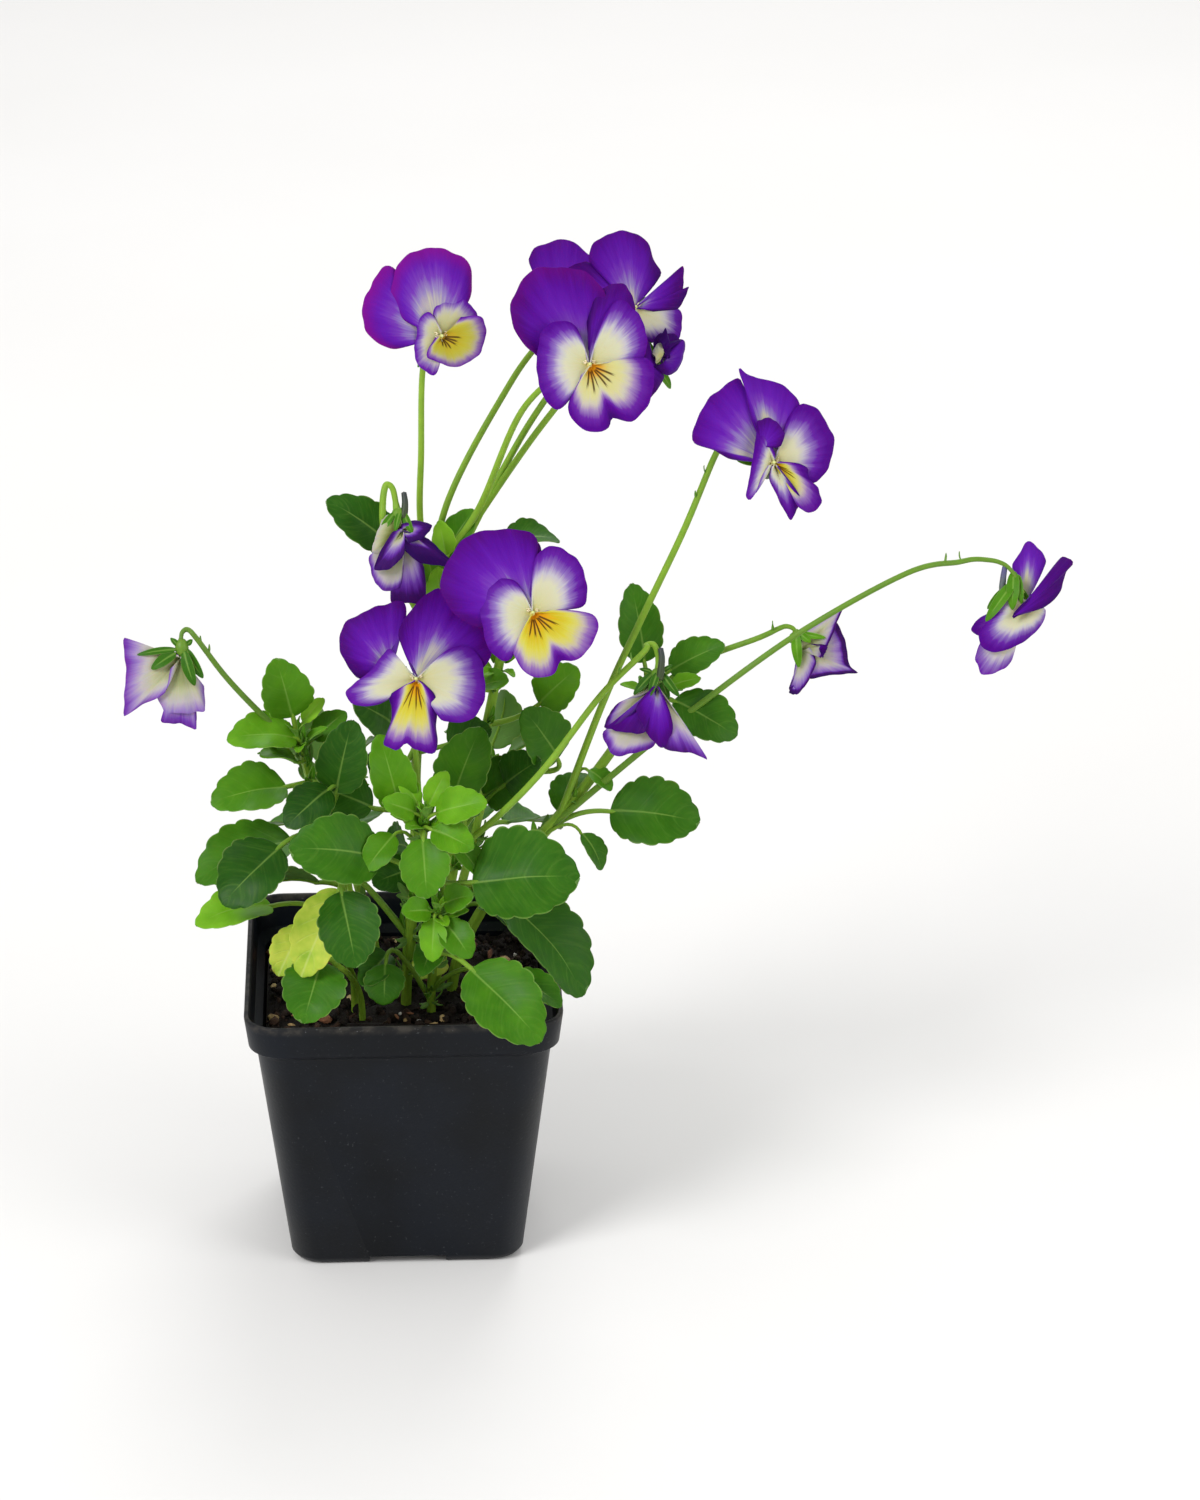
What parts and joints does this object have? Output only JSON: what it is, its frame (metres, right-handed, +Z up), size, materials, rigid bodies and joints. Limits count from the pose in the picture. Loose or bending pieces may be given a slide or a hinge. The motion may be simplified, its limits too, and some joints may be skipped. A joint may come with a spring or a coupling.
{
  "type": "potted viola plant",
  "caption": "Viola plant with violet and cream flowers on thin stalks over toothed leaves, rooted in soil in a square black plastic nursery pot.",
  "frame": {"origin": "centre of the pot's flat underside, where the part stands", "axes": "+Z up along the pot's axis, +X to the right and +Y to the back as the plant is seen from its front"},
  "size_m": [0.2682, 0.1176, 0.292],
  "materials": {
    "pot": "satin",
    "soil": "matte",
    "green": "satin",
    "yellow_green": "satin",
    "petals": "matte",
    "faded_petals": "matte"
  },
  "bodies": {
    "root": {"pot": "pot", "soil": "soil", "shoot_left": "green", "shoot_front": "green", "shoot_low": "green", "shoot_mid": "green", "shoot_right": "green", "shoot_back": "green", "shoot_rear_left": "green", "shoot_rear_right": "green", "shoot_old": "yellow_green", "shoot_foot_leaf": "green", "flower_a": "petals", "flower_b": "petals", "flower_c": "petals", "flower_d": "petals", "flower_e": "petals", "flower_f": "petals", "flower_g": "petals", "flower_h": "faded_petals", "flower_i": "faded_petals", "flower_j": "faded_petals", "flower_k": "faded_petals", "flower_l": "petals", "flower_m": "petals"}
  },
  "joints": []
}
